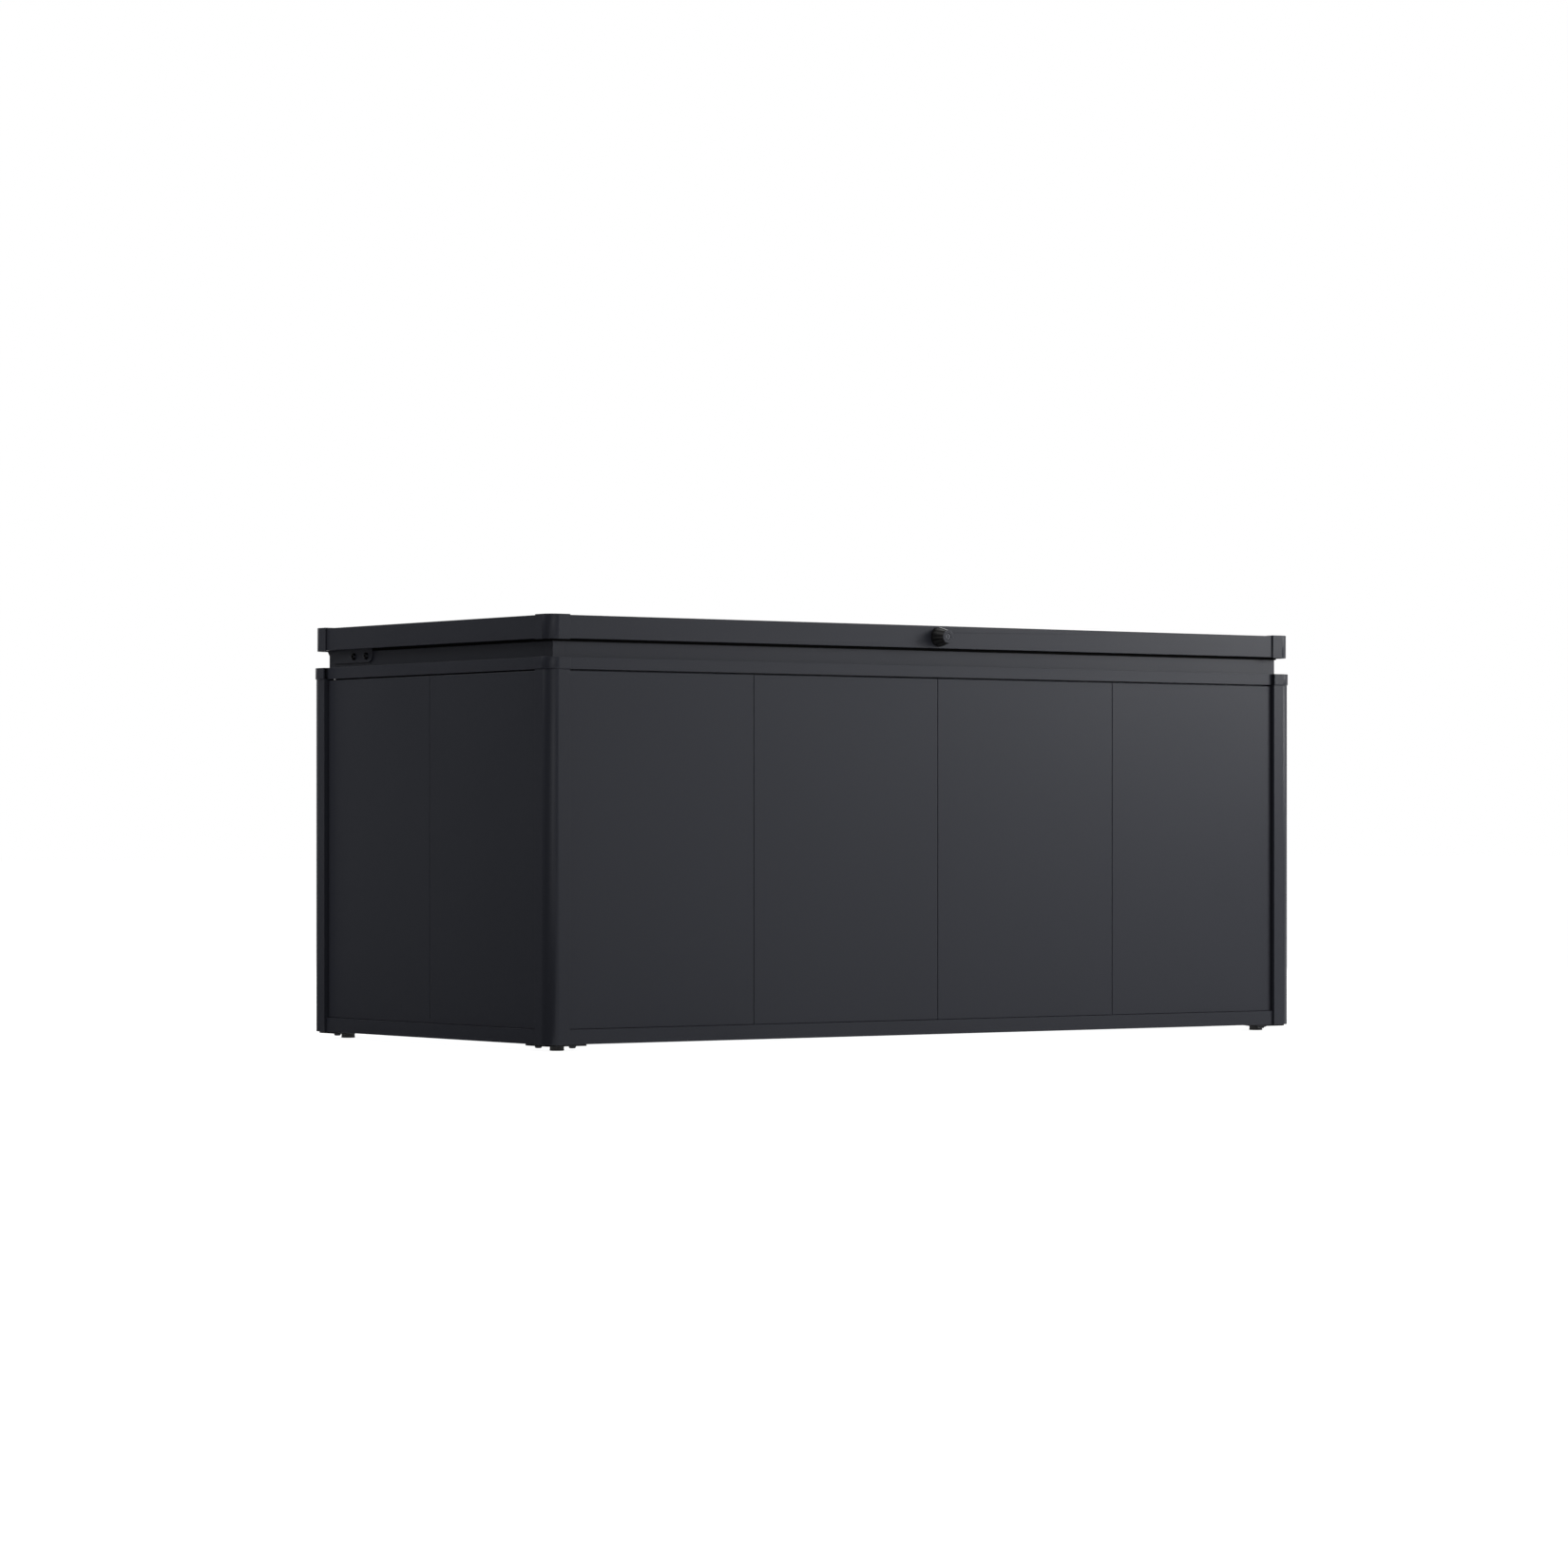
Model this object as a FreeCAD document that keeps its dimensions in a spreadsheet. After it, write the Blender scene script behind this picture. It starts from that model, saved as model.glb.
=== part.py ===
import FreeCAD, Part
import math
import os
import Sketcher
from FreeCAD import Vector, Rotation

# Garden storage box: a powder coated sheet metal chest with a hinged lid.
# Frame: X runs along the front to the right, Y to the rear, Z up.
# The origin is on the ground under the middle of the whole box.

doc = FreeCAD.newDocument("garden_storage_box")
sheet = doc.addObject("Spreadsheet::Sheet", "Sizes")
rows = []


class Size:
    """A number together with the sheet expression that it comes from."""

    def __init__(self, value, text):
        self.value = float(value)
        self.text = text

    def __add__(self, other):
        other = as_size(other)
        return Size(self.value + other.value, "(%s + %s)" % (self.text, other.text))

    def __sub__(self, other):
        other = as_size(other)
        return Size(self.value - other.value, "(%s - %s)" % (self.text, other.text))

    def __mul__(self, other):
        other = as_size(other)
        return Size(self.value * other.value, "(%s * %s)" % (self.text, other.text))

    def __truediv__(self, other):
        other = as_size(other)
        return Size(self.value / other.value, "(%s / %s)" % (self.text, other.text))

    def __neg__(self):
        return Size(0, "0") - self

    def __radd__(self, other):
        return as_size(other) + self

    def __rsub__(self, other):
        return as_size(other) - self

    def __rmul__(self, other):
        return as_size(other) * self


def as_size(number):
    return number if isinstance(number, Size) else Size(number, "%g" % number)


def size(name, value):
    """One driving dimension: a row of the sheet with its alias."""
    row = len(rows) + 1
    rows.append(name)
    sheet.set("A%d" % row, name)
    sheet.set("B%d" % row, "%g" % value)
    sheet.setAlias("B%d" % row, name)
    return Size(value, "Sizes." + name)


def sine(angle):
    return Size(math.sin(math.radians(angle.value)), "sin(%s * 1 deg)" % angle.text)


def cosine(angle):
    return Size(math.cos(math.radians(angle.value)), "cos(%s * 1 deg)" % angle.text)


# Overall sizes, taken over the outer planes of the lid's corner caps
box_width = size("box_width", 1800)
box_depth = size("box_depth", 843)
wall_height = size("wall_height", 660)
lid_height = size("lid_height", 43)
neck_gap = size("neck_gap", 34)
band_height = size("band_height", 23)
bottom_rail_height = size("bottom_rail_height", 27.6)
running_gap = size("running_gap", 0.4)

# Insets from the plane of the lid's corner caps; a minus stands proud of it
rail_inset = size("rail_inset", 3)
panel_inset = size("panel_inset", 6.5)
band_inset = size("band_inset", 4.5)
neck_inset = size("neck_inset", 23.5)
post_proud = size("post_proud", 1.5)
band_cap_proud = size("band_cap_proud", 3.2)
corner_radius = size("corner_radius", 23)

# Sheet thicknesses
post_wall = size("post_wall", 1.5)
rail_wall = size("rail_wall", 1.5)
sheet_wall = size("sheet_wall", 0.8)
profile_wall = size("profile_wall", 1.5)
cap_wall = size("cap_wall", 3)
plate_wall = size("plate_wall", 3)

# Legs of the corner pieces, measured from the corner of the lid
post_leg = size("post_leg", 45.5)
post_flange = size("post_flange", 10.5)
cap_leg = size("cap_leg", 47)
neck_leg = size("neck_leg", 51.3)
neck_lip = size("neck_lip", 11.5)
neck_hidden = size("neck_hidden", 11)
band_end_gap = size("band_end_gap", 3)
sleeve_leg = size("sleeve_leg", 60)
cap_chamfer = size("cap_chamfer", 1.7)

# Wall panels
panel_depth = size("panel_depth", 12)
panel_edge_gap = size("panel_edge_gap", 2.7)
panel_top_gap = size("panel_top_gap", 2.5)
panel_module = size("panel_module", 436)
seam_gap = size("seam_gap", 0.4)
fold_radius = size("fold_radius", 1.5)
backing_height = size("backing_height", 21)

# Bottom frame, floor and feet
plate_leg = size("plate_leg", 85)
plate_arm = size("plate_arm", 36)
bottom_flange = size("bottom_flange", 27)
floor_wall = size("floor_wall", 1.2)
foot_inset = size("foot_inset", 50)
foot_radius = size("foot_radius", 13.5)
foot_height = size("foot_height", 9)
stud_radius = size("stud_radius", 5)
stud_length = size("stud_length", 14)
bolt_along = size("bolt_along", 63)
bolt_inset = size("bolt_inset", 18)
bolt_radius = size("bolt_radius", 4)
bolt_head_radius = size("bolt_head_radius", 7)
bolt_crown_radius = size("bolt_crown_radius", 4.6)
bolt_head_height = size("bolt_head_height", 4.4)
bolt_clearance = size("bolt_clearance", 0.2)

# Lid
lid_flange = size("lid_flange", 17)
lid_return = size("lid_return", 8)
lid_rail_start = size("lid_rail_start", 30)
cap_overlap = size("cap_overlap", 1.5)
lid_sheet_inset = size("lid_sheet_inset", 14)
lid_sheet_depth = size("lid_sheet_depth", 15)

# Hinges
pivot_inset = size("pivot_inset", 12)
pivot_rise = size("pivot_rise", 8)
pivot_radius = size("pivot_radius", 4)
pivot_head_radius = size("pivot_head_radius", 6)
pivot_head = size("pivot_head", 2)
hinge_eye = size("hinge_eye", 7.5)
hinge_plate_length = size("hinge_plate_length", 176)
hinge_plate_drop = size("hinge_plate_drop", 34)
hinge_plate_heel = size("hinge_plate_heel", 30)
hinge_plate_round = size("hinge_plate_round", 14)
hinge_bolt_one = size("hinge_bolt_one", 109)
hinge_bolt_two = size("hinge_bolt_two", 155)
hinge_bolt_drop = size("hinge_bolt_drop", 22)
hinge_gap = size("hinge_gap", 0.5)
arm_length = size("arm_length", 70)

# Gas struts; both ends lie at the same distance from the hinge pivot
strut_inset = size("strut_inset", 60)
strut_reach = size("strut_reach", 300)
strut_angle = size("strut_angle", 70)
strut_radius = size("strut_radius", 8)
rod_radius = size("rod_radius", 4)
rod_clearance = size("rod_clearance", 0.4)
strut_end_gap = size("strut_end_gap", 22)
strut_floor_gap = size("strut_floor_gap", 4)
strut_floor = size("strut_floor", 26)
eye_radius = size("eye_radius", 8)
eye_width = size("eye_width", 6)
eye_neck = size("eye_neck", 12)
eye_play = size("eye_play", 0.5)
pin_radius = size("pin_radius", 4)
collar_radius = size("collar_radius", 7)
stud_base_radius = size("stud_base_radius", 20)
hanger_gap = size("hanger_gap", 1)
hanger_half = size("hanger_half", 12)

# Lock
knob_radius = size("knob_radius", 18.8)
knob_front_radius = size("knob_front_radius", 12.6)
knob_reach = size("knob_reach", 29)
knob_rim = size("knob_rim", 3)
flute_radius = size("flute_radius", 5)
flute_depth = size("flute_depth", 1.1)
flute_start = size("flute_start", 4)
flute_count = 10
spindle_radius = size("spindle_radius", 8)
cam_gap = size("cam_gap", 2)
cam_wall = size("cam_wall", 3)
cam_half = size("cam_half", 4.5)
cam_reach = size("cam_reach", 18.5)
cam_tongue = size("cam_tongue", 2.2)
cam_depth = size("cam_depth", 10.5)
keeper_half = size("keeper_half", 9)
keeper_plate_half = size("keeper_plate_half", 20)
keeper_rise = size("keeper_rise", 9)
keeper_wall = size("keeper_wall", 2)
keeper_reach = size("keeper_reach", 11.5)
key_radius = size("key_radius", 6)
key_length = size("key_length", 21)
key_slot_width = size("key_slot_width", 1.4)
key_slot_height = size("key_slot_height", 7)
key_slot_depth = size("key_slot_depth", 6)

# Levels above the ground, from the foot upwards
plate_low = foot_height + running_gap
frame_low = plate_low + plate_wall
rail_top = frame_low + bottom_rail_height
band_low = rail_top + wall_height
band_top = band_low + band_height
lid_low = band_top + neck_gap
lid_top = lid_low + lid_height
neck_top = lid_low + neck_hidden
pivot_z = lid_low + pivot_rise
knob_z = lid_low + lid_height / 2
sheet_top = lid_top - profile_wall
sheet_low = sheet_top - lid_sheet_depth

# The body's middle lies behind the origin, because the knob reaches forward
half_width = box_width / 2
half_depth = box_depth / 2
middle_y = (knob_reach + running_gap - rail_inset - band_cap_proud) / 2
pivot_y = middle_y + half_depth - pivot_inset
flange_plane = panel_inset + panel_depth

SIDES = ("front", "right", "rear", "left")
CORNERS = ("front_left", "front_right", "rear_right", "rear_left")
nodes = []


def new_body(label):
    body = doc.addObject("PartDesign::Body", label)
    body.Label = label
    return body


def keep(piece, label=None):
    """Registers a finished sub-part under its own name."""
    if label:
        piece.Label = label
    nodes.append(piece)
    return piece


def place(piece, x, y, z, turn=None):
    piece.Placement = FreeCAD.Placement(Vector(0, 0, 0), turn or Rotation())
    for axis, distance in (("x", x), ("y", y), ("z", z)):
        piece.setExpression("Placement.Base." + axis, as_size(distance).text)


def new_sketch(body, plane, shift=None):
    """A sketch on one of the body's own planes, moved off it by shift."""
    sketch = body.newObject("Sketcher::SketchObject", body.Name + "_sketch")
    origin = [o for o in body.Origin.OriginFeatures if o.Role == plane][0]
    sketch.AttachmentSupport = [(origin, "")]
    sketch.MapMode = "FlatFace"
    if shift is not None:
        shift = as_size(shift)
        sketch.AttachmentOffset = FreeCAD.Placement(Vector(0, 0, shift.value), Rotation())
        sketch.setExpression("AttachmentOffset.Base.z", shift.text)
    return sketch


def bind(sketch, kind, geometry, point, distance):
    """Holds one coordinate of a sketch point, or a radius, by a sheet expression."""
    if kind == "Radius":
        index = sketch.addConstraint(Sketcher.Constraint(kind, geometry, distance.value))
    else:
        index = sketch.addConstraint(
            Sketcher.Constraint(kind, -1, 1, geometry, point, distance.value))
    sketch.setExpression("Constraints[%d]" % index, distance.text)


def loop(sketch, points):
    """Closed line loop through the points, each fully placed."""
    points = [(as_size(x), as_size(y)) for x, y in points]
    count = len(points)
    first = sketch.GeometryCount
    for i in range(count):
        a = points[i]
        b = points[(i + 1) % count]
        start = Vector(a[0].value, a[1].value, 0)
        end = Vector(b[0].value, b[1].value, 0)
        sketch.addGeometry(Part.LineSegment(start, end), False)
    for i in range(count):
        following = first + (i + 1) % count
        sketch.addConstraint(Sketcher.Constraint("Coincident", first + i, 2, following, 1))
    for i in range(count):
        bind(sketch, "DistanceX", first + i, 1, points[i][0])
        bind(sketch, "DistanceY", first + i, 1, points[i][1])
    return sketch


def disc(sketch, x, y, radius):
    x, y, radius = as_size(x), as_size(y), as_size(radius)
    circle = Part.Circle(Vector(x.value, y.value, 0), Vector(0, 0, 1), radius.value)
    index = sketch.addGeometry(circle, False)
    bind(sketch, "DistanceX", index, 3, x)
    bind(sketch, "DistanceY", index, 3, y)
    bind(sketch, "Radius", index, 0, radius)
    return sketch


def pad(body, sketch, length, back=False, both=False):
    feature = body.newObject("PartDesign::Pad", body.Name + "_pad")
    feature.Profile = sketch
    feature.Length = as_size(length).value
    feature.setExpression("Length", as_size(length).text)
    if both:
        feature.SideType = "Symmetric"
    feature.Reversed = back
    return feature


def pocket(body, sketch, length, back=False, both=False):
    feature = body.newObject("PartDesign::Pocket", body.Name + "_pocket")
    feature.Profile = sketch
    feature.Length = as_size(length).value
    feature.setExpression("Length", as_size(length).text)
    if both:
        feature.SideType = "Symmetric"
    feature.Reversed = back
    return feature


def turned(body, points):
    """Solid turned about the body's Z axis from a half section in X and Z."""
    sketch = loop(new_sketch(body, "XZ_Plane"), points)
    feature = body.newObject("PartDesign::Revolution", body.Name + "_turned")
    feature.Profile = sketch
    feature.ReferenceAxis = (sketch, ["V_Axis"])
    feature.Angle = 360
    return feature


def edges_at(shape, test):
    found = []
    for number, edge in enumerate(shape.Edges, 1):
        if test(edge):
            found.append("Edge%d" % number)
    return found


def upright_at(x, y):
    """Test for a vertical edge that stands at x, y."""
    x, y = as_size(x).value, as_size(y).value

    def test(edge):
        return all(abs(v.X - x) < 0.01 and abs(v.Y - y) < 0.01 for v in edge.Vertexes)
    return test


def dress(body, kind, amount, base, test):
    """Rounds or chamfers the edges of the last feature that pass the test."""
    doc.recompute()
    names = edges_at(base.Shape, test)
    if not names:
        raise RuntimeError("no edge to dress on " + body.Label)
    feature = body.newObject("PartDesign::" + kind, body.Name + "_" + kind.lower())
    feature.Base = (base, names)
    prop = "Radius" if kind == "Fillet" else "Size"
    setattr(feature, prop, amount.value)
    feature.setExpression(prop, amount.text)
    return feature


def angle_pad(body, outer, inner, end, low, high, end_inner=None):
    """Extrudes an L shaped plan between two levels; its legs run along X and Y."""
    stop = end if end_inner is None else end_inner
    points = [(outer, outer), (end, outer), (stop, inner),
              (inner, inner), (inner, stop), (outer, end)]
    sketch = loop(new_sketch(body, "XY_Plane", low), points)
    return pad(body, sketch, as_size(high) - low)


def at_corner(piece, k, z=0):
    """Puts a corner piece at corner k, its own legs turned along both walls."""
    x = -half_width if k in (0, 3) else half_width
    y = middle_y - half_depth if k in (0, 1) else middle_y + half_depth
    place(piece, x, y, z, Rotation(Vector(0, 0, 1), 90 * k))


def wall_point(k, along, inward):
    """World X and Y of a point on side k, from the plane of the lid's caps."""
    if k == 0:
        return along, middle_y - half_depth + inward
    if k == 1:
        return half_width - inward, middle_y + along
    if k == 2:
        return -as_size(along), middle_y + half_depth - inward
    return -half_width + inward, middle_y - along


def at_side(piece, k, along=0, inward=0, z=0, tilt=0):
    """Puts a piece on side k; tilt 90 turns its own Z axis outward."""
    x, y = wall_point(k, as_size(along), as_size(inward))
    turn = Rotation(Vector(0, 0, 1), 90 * k).multiply(Rotation(Vector(1, 0, 0), tilt))
    place(piece, x, y, z, turn)


def side_length(k):
    return box_width if k in (0, 2) else box_depth


# Corner posts: folded sheet with a rounded corner, standing proud of the panels,
# each leg turned back behind the edge of the wall panel that it holds.

def corner_post(k):
    body = new_body("corner_post_" + CORNERS[k])
    out = -post_proud
    far = post_leg + post_flange
    leg = [(post_leg, out), (post_leg, flange_plane), (far, flange_plane),
           (far, flange_plane + post_wall), (post_leg - post_wall, flange_plane + post_wall),
           (post_leg - post_wall, out + post_wall)]
    points = [(out, out)] + leg + [(out + post_wall, out + post_wall)]
    points += [(y, x) for x, y in reversed(leg)]
    section = pad(body, loop(new_sketch(body, "XY_Plane"), points), band_low - frame_low)
    outer = dress(body, "Fillet", corner_radius, section, upright_at(out, out))
    inner = out + post_wall
    dress(body, "Fillet", corner_radius - post_wall, outer, upright_at(inner, inner))
    at_corner(body, k, frame_low)
    return keep(body)


# Bottom rails: channels between the posts, with a wider bottom flange that takes
# the floor sheet and the screws of the corner plates.

def bottom_rail(k):
    body = new_body("bottom_rail_" + SIDES[k])
    low = frame_low
    face = rail_inset
    points = [(face, low), (face, rail_top), (flange_plane, rail_top),
              (flange_plane, rail_top - rail_wall), (face + rail_wall, rail_top - rail_wall),
              (face + rail_wall, low + rail_wall), (flange_plane, low + rail_wall),
              (flange_plane, low)]
    length = side_length(k) - 2 * post_leg
    pad(body, loop(new_sketch(body, "YZ_Plane"), points), length, both=True)
    edge = face + bottom_flange
    lip = [(flange_plane - 1, low), (edge, low), (edge, low + rail_wall),
           (flange_plane - 1, low + rail_wall)]
    start = post_leg + post_flange + running_gap
    pad(body, loop(new_sketch(body, "YZ_Plane"), lip), side_length(k) - 2 * start, both=True)
    holes = new_sketch(body, "XY_Plane", low)
    for end in (-1, 1):
        along = end * (side_length(k) / 2 - bolt_along)
        disc(holes, along, bolt_inset, bolt_radius + bolt_clearance)
    pocket(body, holes, rail_wall, back=True)
    at_side(body, k)
    return keep(body)


# Top rails: one folded profile makes the band round the top of the wall, the
# ledge behind it and the upright neck that the lid closes over.

def top_rail(k):
    body = new_body("top_rail_" + SIDES[k])
    wall = profile_wall
    face = band_inset
    neck = neck_inset
    low = band_low + cap_overlap - wall / 2
    back = flange_plane + wall
    band = [(face, low), (face, band_top), (neck + wall, band_top),
            (neck + wall, band_top - wall), (face + wall, band_top - wall),
            (face + wall, low + wall), (back, low + wall), (back, low)]
    band_start = post_leg + band_end_gap
    pad(body, loop(new_sketch(body, "YZ_Plane"), band),
        side_length(k) - 2 * band_start, both=True)
    upright = [(neck, band_top - wall), (neck, neck_top), (neck + neck_lip, neck_top),
               (neck + neck_lip, neck_top - wall), (neck + wall, neck_top - wall),
               (neck + wall, band_top - wall)]
    pad(body, loop(new_sketch(body, "YZ_Plane"), upright),
        side_length(k) - 2 * neck_leg, both=True)
    backing = [(flange_plane, low - backing_height), (back, low - backing_height),
               (back, low + wall), (flange_plane, low + wall)]
    backing_start = post_leg + post_flange + running_gap
    last = pad(body, loop(new_sketch(body, "YZ_Plane"), backing),
               side_length(k) - 2 * backing_start, both=True)
    if k in (1, 3):
        holes = new_sketch(body, "XZ_Plane", -neck)
        for behind in (hinge_bolt_one, hinge_bolt_two):
            along = half_depth - pivot_inset - behind
            if k == 3:
                along = -along
            disc(holes, along, pivot_z - hinge_bolt_drop, bolt_radius + bolt_clearance)
        last = pocket(body, holes, wall)
    at_side(body, k)
    return keep(body)


# Top corners: the rounded cap of the band with its ledge, the sleeve on which
# both band rails slide, and the corner of the neck.

def top_corner(k):
    body = new_body("top_corner_" + CORNERS[k])
    out = -band_cap_proud
    wall = profile_wall
    low = band_low
    angle_pad(body, out, out + cap_wall, post_leg, low, band_top)
    angle_pad(body, out, neck_inset + wall, post_leg, band_top - wall, band_top)
    angle_pad(body, out, flange_plane + wall, post_leg, low, low + wall)
    sleeve = band_inset + wall
    sleeve_low = low + cap_overlap + wall
    tongue = [(corner_radius, sleeve), (sleeve_leg, sleeve),
              (sleeve_leg, sleeve + wall), (corner_radius, sleeve + wall)]
    sketch = loop(new_sketch(body, "XY_Plane", sleeve_low), tongue)
    loop(sketch, [(y, x) for x, y in tongue])
    pad(body, sketch, band_top - wall - sleeve_low)
    angle_pad(body, neck_inset, neck_inset + wall, neck_leg, band_top, neck_top)
    last = angle_pad(body, neck_inset, neck_inset + neck_lip, neck_leg, neck_top - wall, neck_top)
    radius = corner_radius + band_cap_proud - post_proud
    outer = dress(body, "Fillet", radius, last, upright_at(out, out))
    inner = out + cap_wall
    rounded = dress(body, "Fillet", radius - cap_wall, outer, upright_at(inner, inner))
    reach = post_leg.value

    def bottom_rim(edge):
        level = all(abs(v.Z - low.value) < 0.01 for v in edge.Vertexes)
        middle = edge.valueAt((edge.FirstParameter + edge.LastParameter) / 2)
        near = min(middle.x, middle.y) < out.value + radius.value * 0.4
        inside = max(middle.x, middle.y) < reach - 0.1
        straight = abs(min(middle.x, middle.y) - out.value) < 0.01
        curved = edge.Curve.TypeId != "Part::GeomLine"
        return level and near and inside and (straight or curved)
    dress(body, "Chamfer", cap_chamfer, rounded, bottom_rim)
    at_corner(body, k)
    return keep(body)


# Trays: folded sheets with an edge turned back all round. They make the walls
# and, laid flat, the top of the lid.

def tray(label, width, height, depth, wall):
    body = new_body(label)
    points = [(-width / 2, -height / 2), (width / 2, -height / 2),
              (width / 2, height / 2), (-width / 2, height / 2)]
    block = pad(body, loop(new_sketch(body, "XY_Plane"), points), depth)
    face = as_size(depth).value

    def face_rim(edge):
        return all(abs(v.Z - face) < 0.01 for v in edge.Vertexes)
    dress(body, "Fillet", fold_radius, block, face_rim)
    x, y = width / 2 - wall, height / 2 - wall
    inner = loop(new_sketch(body, "XY_Plane"), [(-x, -y), (x, -y), (x, y), (-x, y)])
    hollow = pocket(body, inner, depth - wall, back=True)
    floor = (as_size(depth) - wall).value

    def floor_rim(edge):
        return all(abs(v.Z - floor) < 0.01 for v in edge.Vertexes)
    dress(body, "Fillet", fold_radius - wall, hollow, floor_rim)
    return body


def wall_panel(label, k, start, end):
    """A wall panel between two places along side k, seated on the bottom rail."""
    height = band_low + cap_overlap - profile_wall / 2 - panel_top_gap - rail_top
    body = tray(label, end - start, height, panel_depth, sheet_wall)
    at_side(body, k, (start + end) / 2, flange_plane, rail_top + height / 2, 90)
    return keep(body)


def wall_panels():
    edge_x = half_width - post_leg - panel_edge_gap
    edge_y = half_depth - post_leg - panel_edge_gap
    gap = seam_gap / 2
    wall_panel("front_panel_1", 0, -edge_x, -panel_module - gap)
    wall_panel("front_panel_2", 0, -panel_module + gap, -gap)
    wall_panel("front_panel_3", 0, gap, panel_module - gap)
    wall_panel("front_panel_4", 0, panel_module + gap, edge_x)
    wall_panel("rear_panel_right", 2, -edge_x, -gap)
    wall_panel("rear_panel_left", 2, gap, edge_x)
    wall_panel("right_panel_front", 1, -edge_y, -gap)
    wall_panel("right_panel_rear", 1, gap, edge_y)
    wall_panel("left_panel_rear", 3, -edge_y, -gap)
    wall_panel("left_panel_front", 3, gap, edge_y)


# Floor sheet: lies on the bottom flanges, its corners cut out round the posts,
# with a hole over each foot's stud.

def floor_sheet():
    body = new_body("floor_sheet")
    edge = rail_inset + rail_wall + running_gap
    notch = post_leg + post_flange + 2 * running_gap
    clear = flange_plane + post_wall + running_gap
    x, y = half_width, half_depth
    points = []
    for side_x, side_y in ((-1, -1), (1, -1), (1, 1), (-1, 1)):
        corner = [(edge, notch), (clear, notch), (clear, clear), (notch, clear), (notch, edge)]
        if side_x * side_y < 0:
            corner.reverse()
        points += [(side_x * (x - a), side_y * (y - b)) for a, b in corner]
    pad(body, loop(new_sketch(body, "XY_Plane"), points), floor_wall)
    holes = new_sketch(body, "XY_Plane")
    for side_x, side_y in ((-1, -1), (1, -1), (1, 1), (-1, 1)):
        disc(holes, side_x * (x - foot_inset), side_y * (y - foot_inset), stud_radius + running_gap)
    pocket(body, holes, floor_wall, back=True)
    place(body, 0, middle_y, frame_low + rail_wall)
    return keep(body)


# Corner plates and adjustable feet: the plate is screwed under both rails and
# the foot's stud turns in it.

def foot_plate(k):
    body = new_body("foot_plate_" + CORNERS[k])
    near = rail_inset + 1
    points = [(near, near), (plate_leg, near), (plate_leg, plate_arm),
              (plate_leg - 15, plate_leg - 15), (plate_arm, plate_leg), (near, plate_leg)]
    plate = pad(body, loop(new_sketch(body, "XY_Plane"), points), plate_wall)
    holes = new_sketch(body, "XY_Plane")
    disc(holes, foot_inset, foot_inset, stud_radius + running_gap)
    disc(holes, bolt_along, bolt_inset, bolt_radius + bolt_clearance)
    disc(holes, bolt_inset, bolt_along, bolt_radius + bolt_clearance)
    cut = pocket(body, holes, plate_wall, back=True)
    dress(body, "Fillet", corner_radius - near, cut, upright_at(near, near))
    at_corner(body, k, plate_low)
    return keep(body)


def levelling_foot(k):
    body = new_body("levelling_foot_" + CORNERS[k])
    rim = foot_radius - 1
    top = foot_height + stud_length
    turned(body, [(0, 0), (rim, 0), (foot_radius, 1), (foot_radius, foot_height - 1),
                  (rim, foot_height), (stud_radius, foot_height), (stud_radius, top), (0, top)])
    x = half_width - foot_inset
    y = half_depth - foot_inset
    side_x = -1 if k in (0, 3) else 1
    side_y = -1 if k in (0, 1) else 1
    place(body, side_x * x, middle_y + side_y * y, 0)
    return keep(body)


# Button head screws: two through each corner plate and two through each hinge plate.

def button_screw(name, x, y, z, length, turn=None):
    head = doc.addObject("Part::Cone", name + "_head")
    head.setExpression("Radius1", bolt_crown_radius.text)
    head.setExpression("Radius2", bolt_head_radius.text)
    head.setExpression("Height", bolt_head_height.text)
    head.setExpression("Placement.Base.z", (-bolt_head_height).text)
    shank = doc.addObject("Part::Cylinder", name + "_shank")
    shank.setExpression("Radius", bolt_radius.text)
    shank.setExpression("Height", length.text)
    screw = doc.addObject("Part::Fuse", name)
    screw.Base = head
    screw.Tool = shank
    place(screw, x, y, z, turn)
    return screw


def frame_screws():
    screws = []
    for k in range(4):
        side_x = -1 if k in (0, 3) else 1
        side_y = -1 if k in (0, 1) else 1
        for a, b in ((bolt_along, bolt_inset), (bolt_inset, bolt_along)):
            name = "plate_screw_%d" % len(screws)
            x = side_x * (half_width - a)
            y = middle_y + side_y * (half_depth - b)
            screws.append(button_screw(name, x, y, plate_low, plate_wall + rail_wall))
    for side in (-1, 1):
        turn = Rotation(Vector(0, 1, 0), -90 * side)
        for behind in (hinge_bolt_one, hinge_bolt_two):
            name = "hinge_screw_%d" % len(screws)
            x = side * (half_width - neck_inset + plate_wall)
            z = pivot_z - hinge_bolt_drop
            screws.append(button_screw(name, x, pivot_y - behind, z,
                                       plate_wall + profile_wall, turn))
    group = doc.addObject("Part::Compound", "frame_screws")
    group.Links = screws
    return keep(group, "frame_screws")


# Slabs across X: side -1 is the left of the box and 1 the right. The slab starts
# at the distance start from the middle and grows outward.

def slab(body, side, points, start, thickness):
    sketch = new_sketch(body, "YZ_Plane", side * start)
    return pad(body, loop(sketch, points), thickness, back=side < 0)


def round_slab(body, side, y, z, radius, start, thickness):
    sketch = new_sketch(body, "YZ_Plane", side * start)
    return pad(body, disc(sketch, y, z, radius), thickness, back=side < 0)


def round_hole(body, side, y, z, radius, start, thickness):
    sketch = new_sketch(body, "YZ_Plane", side * start)
    return pocket(body, disc(sketch, y, z, radius), thickness, back=side > 0)


# Hinges: a plate on the outside of the neck carries the pivot pin, and an arm
# under the lid turns on it. Both are hidden between neck and lid rail.

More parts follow.
